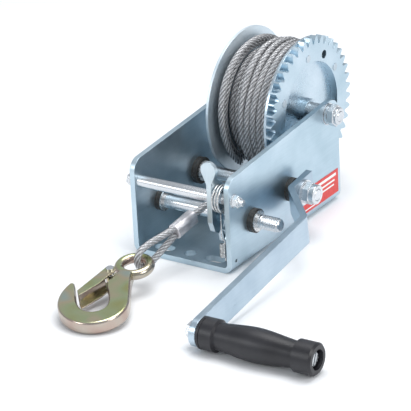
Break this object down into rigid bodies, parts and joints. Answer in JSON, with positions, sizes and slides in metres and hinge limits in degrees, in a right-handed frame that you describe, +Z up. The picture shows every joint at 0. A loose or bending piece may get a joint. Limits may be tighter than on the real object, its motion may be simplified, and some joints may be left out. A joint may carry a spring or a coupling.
{
  "type": "boat trailer winch",
  "caption": "Two-speed hand winch with geared drum, folded frame, crank and wire rope with a safety hook.",
  "frame": {"origin": "middle of the base bolt pattern, on the underside of the base", "axes": "+Z up, +X towards the crank side, -Y towards the end where the rope leaves"},
  "size_m": [0.2787, 0.3956, 0.1618],
  "materials": {
    "zinc_plate": "blue zinc plating, satin",
    "bright_steel": "bright zinc plating",
    "spring_steel": "drawn spring wire",
    "wire_rope": "galvanised stranded wire",
    "black_nylon": "moulded",
    "black_grip": "moulded, satin",
    "ferrule_aluminium": "swaged",
    "label_red": "printed vinyl",
    "yellow_zinc": "yellow chromate zinc plating"
  },
  "bodies": {
    "frame": {"frame": "zinc_plate", "tie_tube": "bright_steel", "tie_bolt": "bright_steel", "tie_washers": "bright_steel", "tie_nut": "bright_steel", "axle_tube": "bright_steel", "axle_bolt": "bright_steel", "axle_washers": "bright_steel", "axle_nut": "bright_steel", "shaft_bushes": "black_nylon", "pawl_coil_spring": "spring_steel", "pawl_tension_spring": "spring_steel", "pawl_spring_links": "spring_steel", "label": "label_red", "rope_run": "wire_rope", "ferrule": "ferrule_aluminium", "rope_eye": "wire_rope", "hook": "yellow_zinc", "latch_rivet": "bright_steel", "latch_spring": "spring_steel"},
    "drum": {"drum_hub": "zinc_plate", "drum_barrel": "zinc_plate", "drum_flange_left": "zinc_plate", "drum_flange_right": "zinc_plate", "drum_gear": "zinc_plate", "drum_rivets": "zinc_plate", "rope_winding": "wire_rope"},
    "crank_drive": {"crank_shaft": "bright_steel", "crank_pinion": "zinc_plate", "crank_gear": "zinc_plate", "crank_spacer": "zinc_plate", "crank_clips": "spring_steel", "crank_arm": "zinc_plate", "crank_washer": "bright_steel", "crank_nut": "bright_steel", "grip_bolt": "bright_steel", "grip_nut": "bright_steel"},
    "grip": {"grip": "black_grip"},
    "low_drive": {"low_shaft": "bright_steel", "low_pinion": "zinc_plate", "ratchet_wheel": "zinc_plate", "low_clips": "spring_steel"},
    "pawl": {"pawl": "zinc_plate", "pawl_sleeve": "zinc_plate"},
    "latch": {"hook_latch": "yellow_zinc"}
  },
  "joints": [
    {"name": "drum_spin", "type": "hinge", "parent": "frame", "child": "drum", "pos_m": [0, 0.0735, 0.092], "axis": [1, 0, 0], "continuous": true},
    {"name": "crank_spin", "type": "hinge", "parent": "frame", "child": "crank_drive", "pos_m": [0, 0.00697, 0.04313], "axis": [1, 0, 0], "continuous": true},
    {"name": "low_shaft_spin", "type": "hinge", "parent": "frame", "child": "low_drive", "pos_m": [0, -0.05635, 0.03837], "axis": [1, 0, 0], "continuous": true},
    {"name": "grip_spin", "type": "hinge", "parent": "crank_drive", "child": "grip", "pos_m": [0.10697, -0.2231, 0.01488], "axis": [0.9999, 0.0166, 0.002], "continuous": true},
    {"name": "pawl_pivot", "type": "hinge", "parent": "frame", "child": "pawl", "pos_m": [0, -0.0865, 0.0683], "axis": [1, 0, 0], "range_deg": [-8, 6]},
    {"name": "latch_hinge", "type": "hinge", "parent": "frame", "child": "latch", "pos_m": [-0.01839, -0.17629, 0.01847], "axis": [0.0201, -0.1538, 0.9879], "range_deg": [0, 25], "stiffness_Nm_per_rad": 0.05, "springref_deg": -20.05}
  ],
  "couplings": [
    {"joint": "crank_spin", "follows": "drum_spin", "ratio": -4.2},
    {"joint": "low_shaft_spin", "follows": "drum_spin", "ratio": 7}
  ]
}
